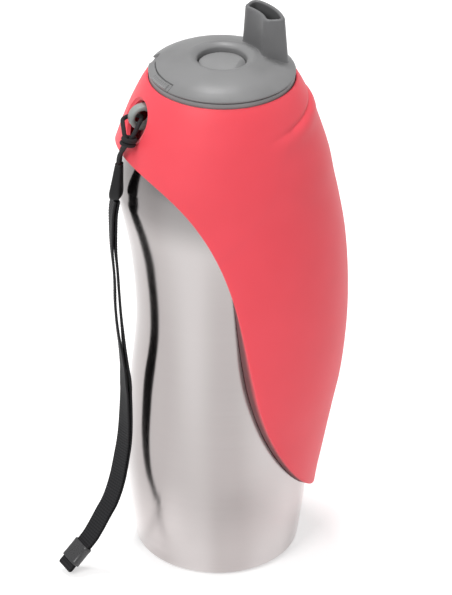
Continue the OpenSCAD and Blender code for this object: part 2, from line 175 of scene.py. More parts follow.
# Mesh from patches, each an array of rows by columns of points in millimetres, joined where they meet; depths
# are a number for each point, kept on the mesh for the material
def makePiece(name, patches, body, material, sharp=38, fillHoles=False, depths=None):
    joinWithin = 2e-6  # metres
    verts, faces, start = [], [], 0
    for patch in patches:
        rows, cols = patch.shape[:2]
        index = np.arange(rows * cols).reshape(rows, cols) + start
        quads = np.stack([index[:-1, :-1], index[:-1, 1:], index[1:, 1:], index[1:, :-1]], axis=-1)
        verts.append(patch.reshape(-1, 3) * mm)
        faces.append(quads.reshape(-1, 4))
        start += rows * cols
    mesh = bpy.data.meshes.new(name)
    mesh.from_pydata(np.vstack(verts), [], np.vstack(faces).tolist())
    if depths is not None:
        kept = mesh.attributes.new("depth", "FLOAT", "POINT")
        kept.data.foreach_set("value", np.concatenate([np.ravel(d) for d in depths]).astype(np.float32))
    work = bmesh.new()
    work.from_mesh(mesh)
    bmesh.ops.remove_doubles(work, verts=work.verts, dist=joinWithin)
    if fillHoles:
        bmesh.ops.holes_fill(work, edges=[e for e in work.edges if e.is_boundary], sides=0)
    bmesh.ops.recalc_face_normals(work, faces=work.faces)
    openEdges = sum(not e.is_manifold for e in work.edges)
    work.to_mesh(mesh)
    work.free()
    mesh.shade_smooth()
    mesh.set_sharp_from_angle(angle=math.radians(sharp))
    piece = bpy.data.objects.new(name, mesh)
    scene.collection.objects.link(piece)
    mesh.materials.append(material)
    if body:
        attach(piece, body)
    print("made", name, len(mesh.polygons), "faces,", openEdges, "open edges")
    return piece


# Materials


# A node's output that takes part in Python sums
class Value:

    def __init__(self, finish, socket):
        self.finish, self.socket = finish, socket

    # One Math node, on values or numbers
    def maths(self, operation, *parts):
        return self.finish.make("Math", {"operation": operation}, dict(enumerate(parts)))

    def __add__(self, other):
        return self.maths("ADD", self, other)

    def __mul__(self, other):
        return self.maths("MULTIPLY", self, other)

    __radd__, __rmul__ = __add__, __mul__

    # Smooth step from first, where the value is low, to last, where it is high
    def between(self, low, high, first=0.0, last=1.0):
        ends = {0: self, 1: low, 2: high, 3: first, 4: last}
        return self.finish.make("MapRange", {"interpolation_type": "SMOOTHSTEP"}, ends)


# A material, built from nodes by one method
class Finish:

    def __init__(self, name):
        self.material = bpy.data.materials.new(name)
        self.material.use_nodes = True
        self.tree = self.material.node_tree
        self.tree.nodes.clear()

    # Any node: its settings first, then the values or links of its sockets, and the output that is wanted
    def make(self, kind, settings=None, sockets=None, out=0):
        node = self.tree.nodes.new("ShaderNode" + kind)
        for key, value in (settings or {}).items():
            setattr(node, key, value)
        for key, value in (sockets or {}).items():
            if isinstance(value, Value):
                self.tree.links.new(value.socket, node.inputs[key])
            else:
                node.inputs[key].default_value = value
        return Value(self, node.outputs[out]) if node.outputs else None

    # Object coordinates, as three numbers in metres
    def place(self):
        spot = self.make("TexCoord", out=3)
        return [self.make("SeparateXYZ", None, {0: spot}, out=i) for i in range(3)]

    # Three values as one vector
    def vector(self, x, y, z):
        return self.make("CombineXYZ", None, {0: x, 1: y, 2: z})

    # Fractal noise at a vector
    def noise(self, where, scale, detail=2.0, rough=0.5):
        sockets = {"Vector": where, "Scale": scale, "Detail": detail, "Roughness": rough}
        return self.make("TexNoise", None, sockets)

    # The depth that makePiece kept on the mesh
    def depth(self):
        return self.make("Attribute", {"attribute_name": "depth"}, out=2)

    # Colours mixed by a share
    def mix(self, share, first, last):
        return self.make("Mix", {"data_type": "RGBA"}, {0: share, 6: first, 7: last}, out=2)

    # Normal from a height, which spans the distance in metres
    def bump(self, height, distance, strength=1.0):
        return self.make("Bump", None, {"Height": height, "Distance": distance, "Strength": strength})

    # The material, with the shader as its surface
    def close(self, shader):
        self.make("OutputMaterial", None, {0: shader})
        return self.material

    # The material, with one principled shader
    def finish(self, sockets):
        return self.close(self.make("BsdfPrincipled", None, sockets))


steelLook = {
    # dark and pale: the two ends of the painted reflection bands
    "dark": (0.44, 0.40, 0.395, 1),
    "pale": (0.60, 0.565, 0.56, 1),
    "line": (0.66, 0.63, 0.625, 1),
    # painted shade under the collar, and painted light that makes the foot brighter than the rest
    "shoulderPaintedShade": (0.156, 0.178, 1.0, 0.55),  # two heights in metres, and the shade at each
    "footPaintedLight": (0.012, 0.05, 1.12, 0.8),
}


# Drawn steel: fine level lines vary the tone and the gloss; a soft cloud, stretched up the height, varies the
# gloss and paints soft vertical bands of reflection into the colour; the heights paint shade under the collar
# and light at the foot
def steelFinish(look):
    f = Finish("brushedSteel")
    x, y, z = f.place()
    lines = f.noise(f.vector(x * 14, y * 14, z * 5200), 1.0, 3.0, 0.6)
    cloud = f.noise(f.vector(x, y, z * 0.12), 34, 1.0)
    # painted reflection: soft vertical bands between the dark and pale steel
    paintedReflectionBands = f.mix(cloud.between(0.34, 0.66), look["dark"], look["pale"])
    # painted shade below the collar and painted light at the foot, by height
    shade = z.between(*look["shoulderPaintedShade"]) * z.between(*look["footPaintedLight"])
    colour = f.mix(lines * 0.3, paintedReflectionBands, look["line"])
    return f.finish({
        "Base Color": f.make("VectorMath", {"operation": "SCALE"}, {0: colour, 3: shade}),
        "Metallic": 1.0,
        "Roughness": lines * 0.05 + cloud * 0.08 + 0.12,
        "Anisotropic": 0.6,
        "Anisotropic Rotation": 0.25,
        "Normal": f.bump(lines, 0.00001, 0.1),
    })


siliconeLook = {
    "pale": (0.94, 0.083, 0.113, 1),
    "dark": (0.90, 0.077, 0.104, 1),
    # inside: the dark red of painted shade on the free edge's inward wall
    "inside": (0.11, 0.003, 0.008, 1),
}


# Moulded silicone: a faint cloud between two reds, fine grain, and painted shade on the free edge's inward
# wall, by its depth
def siliconeFinish(look):
    f = Finish("coralSilicone")
    where = f.vector(*f.place())
    grain = f.noise(where, 2600, 2.0)
    cloud = f.noise(where, 30, 2.0)
    outside = f.mix(cloud.between(0.3, 0.75), look["pale"], look["dark"])
    return f.finish({
        # painted shade on the free edge's inward wall, by the depth kept on the mesh
        "Base Color": f.mix(f.depth(), outside, look["inside"]),
        "Roughness": grain * 0.08 + 0.46,
        "Subsurface Weight": 0.12,
        "Subsurface Scale": 0.004,
        "Sheen Weight": 0.04,
        "Specular IOR Level": 0.36,
        "Normal": f.bump(grain, 0.00002, 0.4),
    })


# Moulded plastic: a faint cloud of a tenth darker, and spark-eroded grain in the gloss and the bump
def plasticFinish(name, colour, roughness=0.45, shine=0.5):
    f = Finish(name)
    where = f.vector(*f.place())
    grain = f.noise(where, 3400, 3.0)
    cloud = f.noise(where, 60, 2.0)
    dark = tuple(c * 0.9 for c in colour)
    return f.finish({
        "Base Color": f.mix(cloud.between(0.35, 0.7), (*colour, 1), (*dark, 1)),
        "Roughness": grain * 0.12 + roughness,
        "Specular IOR Level": shine,
        "Normal": f.bump(grain, 0.00003, 0.5),
    })


# Webbing: painted shade darkens the weave's hollows against its crests
def webbingFinish(shadedHollow, crest):
    f = Finish("blackWebbing")
    grain = f.noise(f.vector(*f.place()), 5200, 2.0)
    return f.finish({
        "Base Color": f.mix(f.depth() * (grain * 0.6 + 0.7), shadedHollow, crest),
        "Roughness": grain * 0.2 + 0.5,
        "Specular IOR Level": 0.2,
        "Normal": f.bump(grain, 0.00005, 0.5),
    })


steel = steelFinish(steelLook)
silicone = siliconeFinish(siliconeLook)
greyPlastic = plasticFinish("greyPlastic", (0.235, 0.235, 0.237), 0.32, 0.3)
# paler copy of the grey plastic: painted light on the neck band and the button
paleLitPlastic = plasticFinish("paleLitPlastic", (0.28, 0.28, 0.282), 0.4, 0.3)
# darker copy of the grey plastic for the spout: partly its own tone, partly painted shade on its upright walls
spoutShadedPlastic = plasticFinish("spoutShadedPlastic", (0.155, 0.155, 0.158), 0.4)
clipPlastic = plasticFinish("clipPlastic", (0.05, 0.05, 0.052), 0.22)
earPlastic = plasticFinish("ringPlastic", (0.30, 0.34, 0.328))
blackPlastic = plasticFinish("blackPlastic", (0.016, 0.016, 0.017), 0.36, 0.22)
sealRubber = plasticFinish("sealRubber", (0.7, 0.7, 0.66), 0.6)
blackCord = plasticFinish("blackCord", (0.012, 0.012, 0.014), 0.75)
blackWebbing = webbingFinish((0.004, 0.004, 0.005, 1), (0.026, 0.026, 0.028, 1))
print("materials made")

# Steel bottle

bottleForm = {
    "footRadius": 35,
    "footFillet": 4,
    "bellyRadius": 38.7,
    "waistRadius": 34.7,
    "shoulderRadius": 42,
    "neckRadius": 24.5,
    "neckTop": 221.4,
    "wall": 0.8,
    "under": [(0.01, 0), (20.6, 0), (21.2, 0.3), (21.8, 1.2), (26.2, 1.2), (26.8, 0.3), (27.4, 0), (30, 0)],
    "floor": [(28, 1.2), (26.8, 2.4), (21.2, 2.4), (20, 1.2), (0.01, 1.2)],
}


# The wall's outside, from the foot to the neck: a smooth curve through radii and heights
def steelLine(form):
    base, belly, waist, shoulder = (form[k + "Radius"] for k in ("foot", "belly", "waist", "shoulder"))
    keys = [
        (base, form["footFillet"]), ((base + belly) / 2 + 0.6, 24), (belly, 50),
        ((belly + waist) / 2 + 0.4, 80), (waist, 110), (waist + 2.2, 140), (shoulder - 0.3, 165),
        (shoulder, 173), (shoulder - 1.2, 182), (shoulder - 5, 194), (31.5, 205), (26.5, 211.5),
        (form["neckRadius"], 214.5),
    ]
    return smoothLine(keys, 8)


# Bottle: the outside, the neck's rim, and back down inside at the wall's distance, carried round Z
def makeBottle(form):
    line = steelLine(form)
    wall, neck, top, fillet = (form[k] for k in ("wall", "neckRadius", "neckTop", "footFillet"))
    flat = form["footRadius"] - fillet
    turn = np.linspace(-math.pi / 2, -0.13, 9)
    foot = np.stack([flat + fillet * np.cos(turn), fillet + fillet * np.sin(turn)], axis=1)
    rim = [(neck, top), (neck - wall, top)]
    floor = [(flat, 1.6)] + form["floor"]
    profile = np.vstack([form["under"], foot, line, rim, sideways(line, wall)[::-1], floor])
    piece = makePiece("steelBottle", [around(profile, 256)], "bottle", steel, sharp=50)
    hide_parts("bottle_shell")


makeBottle(bottleForm)

# Silicone skin: a revolve cut by a free edge and a seam that are drawn in the side view (X, Z)

skinForm = {
    "thickness": 2.6,
    "leafRadius": 53.6,
    "tip": 25.5,
    "fold": 212,
    "hinge": 35.3,
    "slope": 0.19,
    "rim": 2.4,
    "steelGap": 0.5,
    "edgeRound": 0.75,
    "edgeTip": [(24, 38), (2, 70), (-4.2, 102)],  # side view, X and Z, on from the tip
    "edgeBack": [(-4.2, 102), (-11.5, 130), (-13, 176), (-45, 192.6)],
    "seamStart": 20,  # X where the seam leaves the fold
    "seamBend": [(-6, -1.1), (13, 180)],  # the first is from the seam's start
    "seamShare": 0.6,
    "collarTop": 220.7,
    "lip": [  # radii, and drops below the collar's top
        (30.8, 0.18), (30.62, 0.04), (30.35, 0), (30.1, 0.03), (29.9, 0.12), (29.82, 0.3),
        (29.8, 2), (29.9, 3.2),
    ],
    "leafRows": 150,
    "backRows": 60,
    "collarRows": 54,
    "seamPoints": 56,
}

creaseForm = {
    "fadeFrom": 5,  # X
    "fadeOver": 16,
    "deep": 0.75,
    "grooveWidth": 1.0,
    "ridgeBelow": 4.0,
    "ridgeWidth": 3.2,
}

openingForm = {  # the cord's ear comes out here: half sizes and height, outside and inside
    "wide": 10.0,
    "high": 9.9,
    "z": 205.7,
    "inWide": 8.3,
    "inHigh": 8.5,
    "inZ": 206.3,
    "scoop": 1.0,
    "columns": 17,
    "rows": (3, 49),
}


# The skin's outside, from the tip to the collar's top: a smooth curve through radii and heights
def skinLine(form):
    leaf = form["leafRadius"]
    keys = [
        (leaf - 12.6, form["tip"] - 2), (leaf - 11, 36), (leaf - 8.6, 50), (leaf - 5.1, 70), (leaf - 2.2, 86),
        (leaf - 0.6, 102), (leaf, 118), (leaf - 0.6, 136), (leaf - 2.2, 152), (48.8, 166), (46.6, 176),
        (44.6, 186), (41.9, 195), (38.4, 205), (35.4, 212), (33.5, 216), (32, 218.7), (30.6, 220.8),
    ]
    return smoothLine(keys, 10)


skinCurve = skinLine(skinForm)
steelCurve = steelLine(bottleForm)
skinSlope = np.gradient(skinCurve[:, 0], skinCurve[:, 1])


# Radius of a curve at a height, between its points
def radiusAt(curve, z):
    return np.interp(z, curve[:, 1], curve[:, 0])


# The fold line's height: it rises with X from the hinge by the slope
def foldHeight(x):
    return skinForm["fold"] + skinForm["slope"] * (x - skinForm["hinge"])


# How far the fold line sinks the skin: a narrow groove with a low ridge under it, fading towards the sides
def creaseDepth(x, z):
    form = creaseForm
    below = foldHeight(x) - z
    fade = np.clip((x - form["fadeFrom"]) / form["fadeOver"], 0, 1) ** 1.2
    groove = form["deep"] * np.exp(-((below / form["grooveWidth"]) ** 2))
    ridge = form["deep"] * np.exp(-(((below - form["ridgeBelow"]) / form["ridgeWidth"]) ** 2))
    return fade * (groove - ridge)


# Point on the skin at an azimuth and height, sunk below its surface by the depth, along the normal
def onSkin(angle, z, depth=0.0):
    r = radiusAt(skinCurve, z)
    slope = np.interp(z, skinCurve[:, 1], skinSlope)
    depth = depth + creaseDepth(r * np.cos(angle), z)
    lean = 1 / np.sqrt(1 + slope**2)
    return polar(r - depth * lean, angle, z + depth * slope * lean)


# Azimuth and height on the skin of points drawn in the side view
def angleAndHeight(side):
    r = radiusAt(skinCurve, side[:, 1])
    return np.stack([np.arccos(np.clip(side[:, 0] / r, -1, 1)), side[:, 1]], axis=1)


# The free edge in the side view, from the tip to the back, and the point on its back part where the seam ends
def sideEdge(form):
    tip = bezier([(form["leafRadius"] - 12, form["tip"])] + form["edgeTip"], 160)
    whole = np.vstack([tip, bezier(form["edgeBack"], 300)[1:]])
    foot = bezier(form["edgeBack"], 1001)[int(form["seamShare"] * 1000)]
    return whole, foot


# The seam in the side view, from the fold's front to its foot on the free edge
def seamLine(form, foot):
    start = np.array([form["seamStart"], foldHeight(form["seamStart"])])
    front = np.array([radiusAt(skinCurve, form["fold"]), form["fold"]])
    fold = front + np.linspace(0, 1, 40)[:, None] * (start - front)
    near, low = form["seamBend"]
    return np.vstack([fold, bezier([start, start + near, low, foot], 90)[1:]])


# The free edge moved into the skin, in the side view, and cut where it leaves the silhouette
def insetEdge(line, distance):
    moved = sideways(line, -distance)
    inside = moved[:, 0] < radiusAt(skinCurve, moved[:, 1])
    return moved[max(int(np.argmax(inside)) - 1, 0) :]


# The parts of an edge line before and after it crosses the seam's end
def splitAtSeam(line, foot, way):
    side = (line[:, 0] - foot[0]) * way[1] - (line[:, 1] - foot[1]) * way[0]
    near = np.linalg.norm(line - foot, axis=1) < 12
    cross = int(np.nonzero(near[:-1] & (side[:-1] * side[1:] <= 0))[0][0])
    share = side[cross] / (side[cross] - side[cross + 1])
    at = line[cross] + share * (line[cross + 1] - line[cross])
    return np.vstack([line[: cross + 1], at]), np.vstack([at, line[cross + 1 :]])


# Azimuths and heights of points spaced evenly on the skin, along a line of azimuths and heights
def spread(spot, count):
    far = lengthAlong(onSkin(*spot.T))
    return readOff(spot, far, np.linspace(0, 1, count) * far[-1])


# Two functions: the free edge at an inset, before the seam (part 0) or behind it (part 1), and the seam, from
# the front to the corner where it meets that edge
def skinEdges(form):
    whole, foot = sideEdge(form)
    seam = seamLine(form, foot)
    way = unit(seam[-1] - seam[-2])
    seamSpots = angleAndHeight(seam)

    def edgeAt(part, inset):
        cut = splitAtSeam(insetEdge(whole, inset), foot, way)[part]
        return spread(angleAndHeight(cut), (form["leafRows"], form["backRows"])[part])

    def seamTo(corner):
        before = seamSpots[seamSpots[:, 0] < corner[0] - 1e-4]
        return spread(np.vstack([before, corner]), form["seamPoints"])

    return edgeAt, seamTo


# A half of the leaf with its mirror image, joined at the front: azimuths change sign
def bothSides(half):
    return np.vstack([half[::-1] * [-1, 1], half[1:]])


# A half of the collar with its mirror image, joined at the back, half a turn away
def roundBack(half):
    return np.vstack([half, half[-2::-1] * [-1, 1] + [2 * math.pi, 0]])


# One free edge's section: round over the outside, wall in towards the steel, and back to the inside
def rimStrips(form, edgeAt, arrange):
    curl, rim, thick = form["edgeRound"], form["rim"], form["thickness"]
    turn = np.linspace(0, math.pi / 2, 6)
    rows = [onSkin(*arrange(edgeAt(curl * (1 - math.sin(a)))).T, curl * (1 - math.cos(a))) for a in turn]
    shares = np.linspace(0, 1, 7)[:, None, None]
    for inset, depth in ((0.0, curl), (rim, thick)):
        angle, z = arrange(edgeAt(inset)).T
        top = onSkin(angle, z, depth)
        stop = radiusAt(steelCurve, z) + form["steelGap"]
        stop = stop / np.where(np.cos(angle) < 0, np.maximum(np.abs(np.sin(angle)), 0.55), 1)
        stop = np.minimum(stop, np.hypot(top[:, 0], top[:, 1]) - 0.6)
        wall = top + shares * (polar(stop, angle, top[:, 2]) - top)
        rows += list(wall[::-1] if inset else wall[1:])
    return np.stack(rows)


# Leaf: rows run from the middle to the free edge, and change, with the square of their share of the height,
# from the tip's arcs to the seam's shape
def makeLeaf(form, edgeAt, seamTo):

    def grid(inset, depth):
        edge = edgeAt(0, inset)
        top = seamTo(edge[-1])
        v = np.linspace(0, 1, form["leafRows"])[:, None]
        w = np.linspace(0, 1, form["seamPoints"])[None, :]
        share = (top[:, 0] / top[-1, 0])[None, :]
        topShape = ((top[0, 1] - top[:, 1]) / (top[0, 1] - top[-1, 1]))[None, :]
        across = (1 - v**2) * w + v**2 * share
        shape = (1 - v**2) * w**2 + v**2 * topShape
        middle = edge[0, 1] + (top[0, 1] - edge[0, 1]) * v
        angle = across * edge[:, :1]
        height = middle + (edge[:, 1:] - middle) * shape
        angle = np.hstack([-angle[:, ::-1], angle[:, 1:]])
        height = np.hstack([height[:, ::-1], height[:, 1:]])
        return onSkin(angle, height, depth)

    outer, inner = grid(form["edgeRound"], 0), grid(form["rim"], form["thickness"])
    strips = rimStrips(form, lambda inset: edgeAt(0, inset), bothSides)
    patches = [outer, inner, strips, np.stack([outer[-1], inner[-1]])]
    depths = [np.zeros(patch.shape[:2]) for patch in patches]
    # rows past the edge's round carry painted shade, full on the inward wall
    depths[2] += np.clip(np.arange(len(strips)) / 3 - 1.6, 0, 0.97)[:, None]
    leaf = makePiece("siliconeLeaf", patches, "leaf", silicone, fillHoles=True, depths=depths)
    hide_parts("bowl_leaf")


# Azimuths and heights of an ellipse on the skin's back, at the angles turn round its centre
def ellipse(turn, wide, high, level):
    z = level + high * np.sin(turn)
    return np.stack([math.pi + wide * np.cos(turn) / radiusAt(skinCurve, z), z], axis=1)


# Collar: columns stand on the seam and then on the free edge, all the way round; the cells round the opening
# run from a rectangle of the grid in to its ellipse
def makeCollar(form, opening, edgeAt, seamTo):
    thick, top, seamPoints = form["thickness"], form["collarTop"], form["seamPoints"]
    outside = [opening[k] for k in ("wide", "high", "z")]
    inside = [opening[k] for k in ("inWide", "inHigh", "inZ")]

    def grid(inset, depth, high, hole):
        back = edgeAt(1, inset)
        low = roundBack(np.vstack([seamTo(back[0]), back[1:]]))
        rise = np.linspace(0, 1, form["collarRows"])[:, None]
        height = low[:, 1] + rise * (high - low[:, 1])
        spot = np.stack([np.broadcast_to(low[:, 0], height.shape), height], axis=-1)
        middle = len(low) // 2
        a, b = middle - opening["columns"], middle + opening["columns"]
        c, d = opening["rows"]
        edge = np.vstack([spot[c, a : b + 1], spot[c + 1 : d + 1, b], spot[d, a:b][::-1], spot[c:d, a][::-1]])
        flat = (edge - [math.pi, hole[2]]) * [radiusAt(skinCurve, hole[2]), 1]
        ring = ellipse(np.arctan2(flat[:, 1] / hole[1], flat[:, 0] / hole[0]), *hole)
        shares = np.linspace(0, 1, 12)[:, None, None] ** 0.8
        cells = edge + shares * (ring - edge)
        cells = np.concatenate([cells, cells[:, :1]], axis=1)
        parts = [spot[:, : a + 1], spot[: c + 1, a : b + 1], spot[d:, a : b + 1], spot[:, b:], cells]
        return [onSkin(p[..., 0], p[..., 1], depth) for p in parts], low, ring

    outer, outerLow, outerRing = grid(form["edgeRound"], 0, top - 0.35, outside)
    inner, innerLow, innerRing = grid(form["rim"], thick, top - 2.4, inside)
    strips = rimStrips(form, lambda inset: edgeAt(1, inset), roundBack)

    # Lip at the top, from the outside over to the inside
    angles = outerLow[:, 0]
    topRows = [onSkin(angles, np.full(len(angles), top - 0.35))]
    topRows += [polar(radius, angles, top - drop) for radius, drop in form["lip"]]
    topRows += [onSkin(innerLow[:, 0], top - 2.4, thick)]

    # Scooped edge of the opening: the ellipse shrinks while it sinks, ever less steeply, then drops through
    across = (outerRing[:, 0] - math.pi) * radiusAt(skinCurve, outerRing[:, 1])
    turn = np.arctan2((outerRing[:, 1] - opening["z"]) / opening["high"], across / opening["wide"])
    holeRows = []
    for t in [0, 0.02, 0.05, 0.1, 0.2, 0.35, 0.5, 0.65, 0.8, 0.92, 0.985]:
        size = [a + t * (b - a) for a, b in zip(outside, inside)]
        sink = opening["scoop"] * max(0, math.sin(math.pi / 2 * t) - 0.05 * (1 - t) ** 8)
        holeRows.append(onSkin(*ellipse(turn, *size).T, sink))
    holeRows += [onSkin(*ellipse(turn, *inside).T, opening["scoop"] + sink) for sink in (0.12, 0.4)]
    holeRows.append(onSkin(*innerRing.T, thick))

    seams = (slice(None, seamPoints), slice(-seamPoints, None))
    caps = [np.stack([onSkin(*outerLow[s].T), onSkin(*innerLow[s].T, thick)]) for s in seams]
    patches = outer + inner + [strips, np.stack(topRows), np.stack([closed(row) for row in holeRows])] + caps
    collar = makePiece("siliconeCollar", patches, "bottle", silicone, fillHoles=True)
    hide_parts("bowl_collar")


edgeAt, seamTo = skinEdges(skinForm)
makeLeaf(skinForm, edgeAt, seamTo)
makeCollar(skinForm, openingForm, edgeAt, seamTo)

# Neck ring, with its ear

ringForm = {
    "bore": 24.7,
    "bandRadius": 29.6,
    "bandLow": 218.6,
    "bandHigh": 222.5,
    "stepRadius": 25.9,
    "earPlace": (-34.5, 0, 207.8),
    "earHole": 3.2,
    "earBar": 2.2,
    "earWidth": 4.4,
    "earRound": 1.1,
    "rootReach": (-0.2, 3.8, 8),  # X from the ear's middle
    "postX": -27,
    "postThick": 4,
    "postHeights": (210.9, 213.5, 216.4),
}


# Ring: the band is a profile carried round Z, the ear a rounded section carried round a circle in XZ, and the
# root and post are rounded boxes drawn out along X and Z
def makeRing(form):
    bore, r, low, high, step = (form[k] for k in ("bore", "bandRadius", "bandLow", "bandHigh", "stepRadius"))
    profile = [
        (bore, 215.3), (27.4, 215.3), (28.3, 216.2), (28.5, low), (r - 0.35, low), (r - 0.1, low + 0.1),
        (r, low + 0.35), (r, high - 0.45), (r - 0.12, high - 0.12), (r - 0.45, high), (step + 0.3, high),
        (step, high - 0.1), (step, 221.3), (bore + 0.6, 221.25), (bore + 0.5, 219.9), (bore, 219.6),
        (bore, 215.3),
    ]
    band = makePiece("neckBand", [around(profile)], "bottle", paleLitPlastic)
    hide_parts("neck_ring")

    bar, width = form["earBar"], form["earWidth"]
    x, y, z = form["earPlace"]
    section = roundedBox(bar, width, form["earRound"])
    middle = form["earHole"] + bar / 2
    ear = polar(middle + section[:, 0], np.linspace(0, 2 * math.pi, 65)[:, None], section[:, 1])[..., [0, 2, 1]]
    section = roundedBox(bar, width - 0.2, 0.8)
    side, up = section[:, 1], z + middle + section[:, 0]
    root = np.stack([np.stack([np.full(len(up), x + reach), side, up], axis=1) for reach in form["rootReach"]])
    flat = section * [form["postThick"] / bar, 1] + [form["postX"], 0]
    post = np.stack([atHeight(flat, height) for height in form["postHeights"]])
    pieces = [
        makePiece("ear", [ear + (x, y, z)], "bottle", earPlastic),
        makePiece("earRoot", [root], "bottle", earPlastic, fillHoles=True),
        makePiece("earBracket", [post], "bottle", earPlastic, fillHoles=True),
    ]
    for piece in pieces:
        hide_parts("neck_ring")


makeRing(ringForm)

# Web of thin silicone along the fold

webForm = {
    "width": 2.54,
    "thickness": 1.2,
    "depth": 0.7,
    "end": 20.0,  # X where it stops, short of the sides
    "columns": 121,
    "start": (0.0353, 0, 0.2133),  # metres
    "stop": (0.0353, 0, 0.2107),  # metres
}


# Web: a strip under the skin, at offsets above and below the fold line, as one closed tube of two depths
def makeWeb(form):
    t = np.linspace(-1, 1, form["columns"])
    half = form["width"] / 2
    layers = []
    for depth in (form["depth"], form["depth"] + form["thickness"]):
        rows = []
        for offset in np.linspace(-half, half, 7):
            z = np.full(form["columns"], skinForm["fold"] + offset)
            limit = np.arccos(np.clip(form["end"] / radiusAt(skinCurve, z), -1, 1))
            for _ in range(4):  # the height depends on X, and X on the height
                z = foldHeight(radiusAt(skinCurve, z) * np.cos(t * limit)) + offset
            rows.append(onSkin(t * limit, z, depth))
        layers.append(np.stack(rows))
    outer, inner = layers
    surface = np.concatenate([outer, inner[::-1], outer[:1]])
    web = makePiece("foldWeb", [surface], None, silicone, fillHoles=True)
    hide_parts("fold_web")
    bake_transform(web)


makeWeb(webForm)

# Lid: dome, spout, button and lock tab

lidTurn = 11  # degrees at which the screwed lid stops

domeForm = {
    "keys": [
        (29.5, 222.92), (29.78, 223.0), (29.92, 223.3), (29.75, 223.7), (28.85, 224.35), (27.6, 225.1),
        (26, 225.95), (24, 226.8), (21.5, 227.6), (18, 228.5), (15, 229.15), (13.8, 229.4),
        (12.9, 229.42), (12.1, 229.2), (11.3, 228.85), (10.7, 228.5), (10.3, 228.1), (10.12, 227.5),
        (10.1, 226.4), (10.1, 222.7),
    ],
    "under": [
        (12, 222.7), (12, 226.6), (16.5, 227), (22, 225.3), (24.6, 224.4), (25.5, 224.1),
        (25.5, 222.92), (29.5, 222.92),
    ],
    "recess": [(28.7, 222), (28.65, 223.2), (27.7, 223.62), (26.72, 223.8), (26.72, 225.8)],
    "recessOut": 31,
    "outward": 110,  # points of the line before it turns down into the dish
    "edge": 0.16,
}

spoutForm = {
    "inner": 16.2,
    "outer": 26.9,
    "half": 31,  # degrees
    "corner": 3,
    "wall": 1.7,
    "foot": 224,
    "taper": 228.2,
    "lip": 244.8,
    "lipRound": 0.85,
    "filletOut": 0.8,
    "filletUp": 0.95,
}

tabForm = {  # angles in degrees
    "middle": 166,
    "half": 25.5,
    "travel": 12,
    "grip": 177,
    "gripHalf": 12.2,
    "panelHalf": 10.2,
    "ribEvery": 2.4,
    "lift": 0.62,
    "section": [
        (28.85, 222.97), (29.3, 222.95), (29.75, 223.02), (29.9, 223.25), (29.88, 223.45), (29.72, 223.72),
        (29.3, 224.02), (28.85, 224.33), (28.4, 224.6), (28.0, 224.84), (27.7, 225.0), (27.45, 225.13),
        (27.2, 225.18), (27.15, 225.0), (27.15, 223.95), (27.8, 223.78), (28.8, 223.33), (28.85, 222.97),
    ],
    "raised": [0, 0, 0, 0.1, 0.7, 1, 0.9, 0.9, 0.9, 1, 0.6, 0, 0, 0, 0, 0, 0, 0],
    "ribbed": [0, 0, 0, 0, 0, 0.2, 1, 1, 1, 0.2, 0, 0, 0, 0, 0, 0, 0, 0],
}

buttonForm = {
    "radius": 9.7,
    "top": 226.5,
    "facetAt": -48,  # degrees
    "facetStart": 6.2,
    "facetEnd": 10.8,
    "facetDrop": 3,
    "edge": 0.12,
}


# The same points turned about Z with the lid
def turned(points):
    a = math.radians(lidTurn)
    spin = np.array([[math.cos(a), math.sin(a), 0], [-math.sin(a), math.cos(a), 0], [0, 0, 1]])
    return np.asarray(points, float) @ spin


# The piece without the cutters' shapes, with its sharp edges rounded by the width in millimetres
def carve(piece, cutters, width, sharp=38):
    for cutter in cutters:
        cut = piece.modifiers.new("cut", "BOOLEAN")
        cut.object, cut.solver = cutter, "EXACT"
    ease = piece.modifiers.new("ease", "BEVEL")
    ease.width, ease.segments = width * mm, 2
    ease.limit_method, ease.angle_limit = "ANGLE", math.radians(sharp)
    graph = bpy.context.evaluated_depsgraph_get()
    mesh = bpy.data.meshes.new_from_object(piece.evaluated_get(graph))
    piece.modifiers.clear()
    piece.data = mesh
    mesh.shade_smooth()
    mesh.set_sharp_from_angle(angle=math.radians(sharp))
    for cutter in cutters:
        bpy.data.objects.remove(cutter)
    print("carved", piece.name, len(mesh.polygons), "faces")


# Closed solid between matching rings, for cutting: four-sided faces between the rings, and a face on each end
def makeCutter(rings):
    rings = np.asarray(rings, float)
    index = np.arange(rings.shape[0] * rings.shape[1]).reshape(rings.shape[:2])
    onward = np.roll(index, -1, 1)
    quads = np.stack([index[:-1], onward[:-1], onward[1:], index[1:]], axis=-1).reshape(-1, 4)
    mesh = bpy.data.meshes.new("cutter")
    mesh.from_pydata(rings.reshape(-1, 3) * mm, [], quads.tolist() + index[[0, -1]].tolist())
    work = bmesh.new()
    work.from_mesh(mesh)
    bmesh.ops.recalc_face_normals(work, faces=work.faces)
    work.to_mesh(mesh)
    work.free()
    cutter = bpy.data.objects.new("cutter", mesh)
    scene.collection.objects.link(cutter)
    return cutter


# Ring of points for a slice of an annulus between two azimuths, at a height
def sliceRing(low, high, start, end, z):
    a = np.radians(np.linspace(start, end, 24))
    arc = np.stack([np.cos(a), np.sin(a)], axis=1)
    return atHeight(np.vstack([arc * high, arc[::-1] * low]), z)


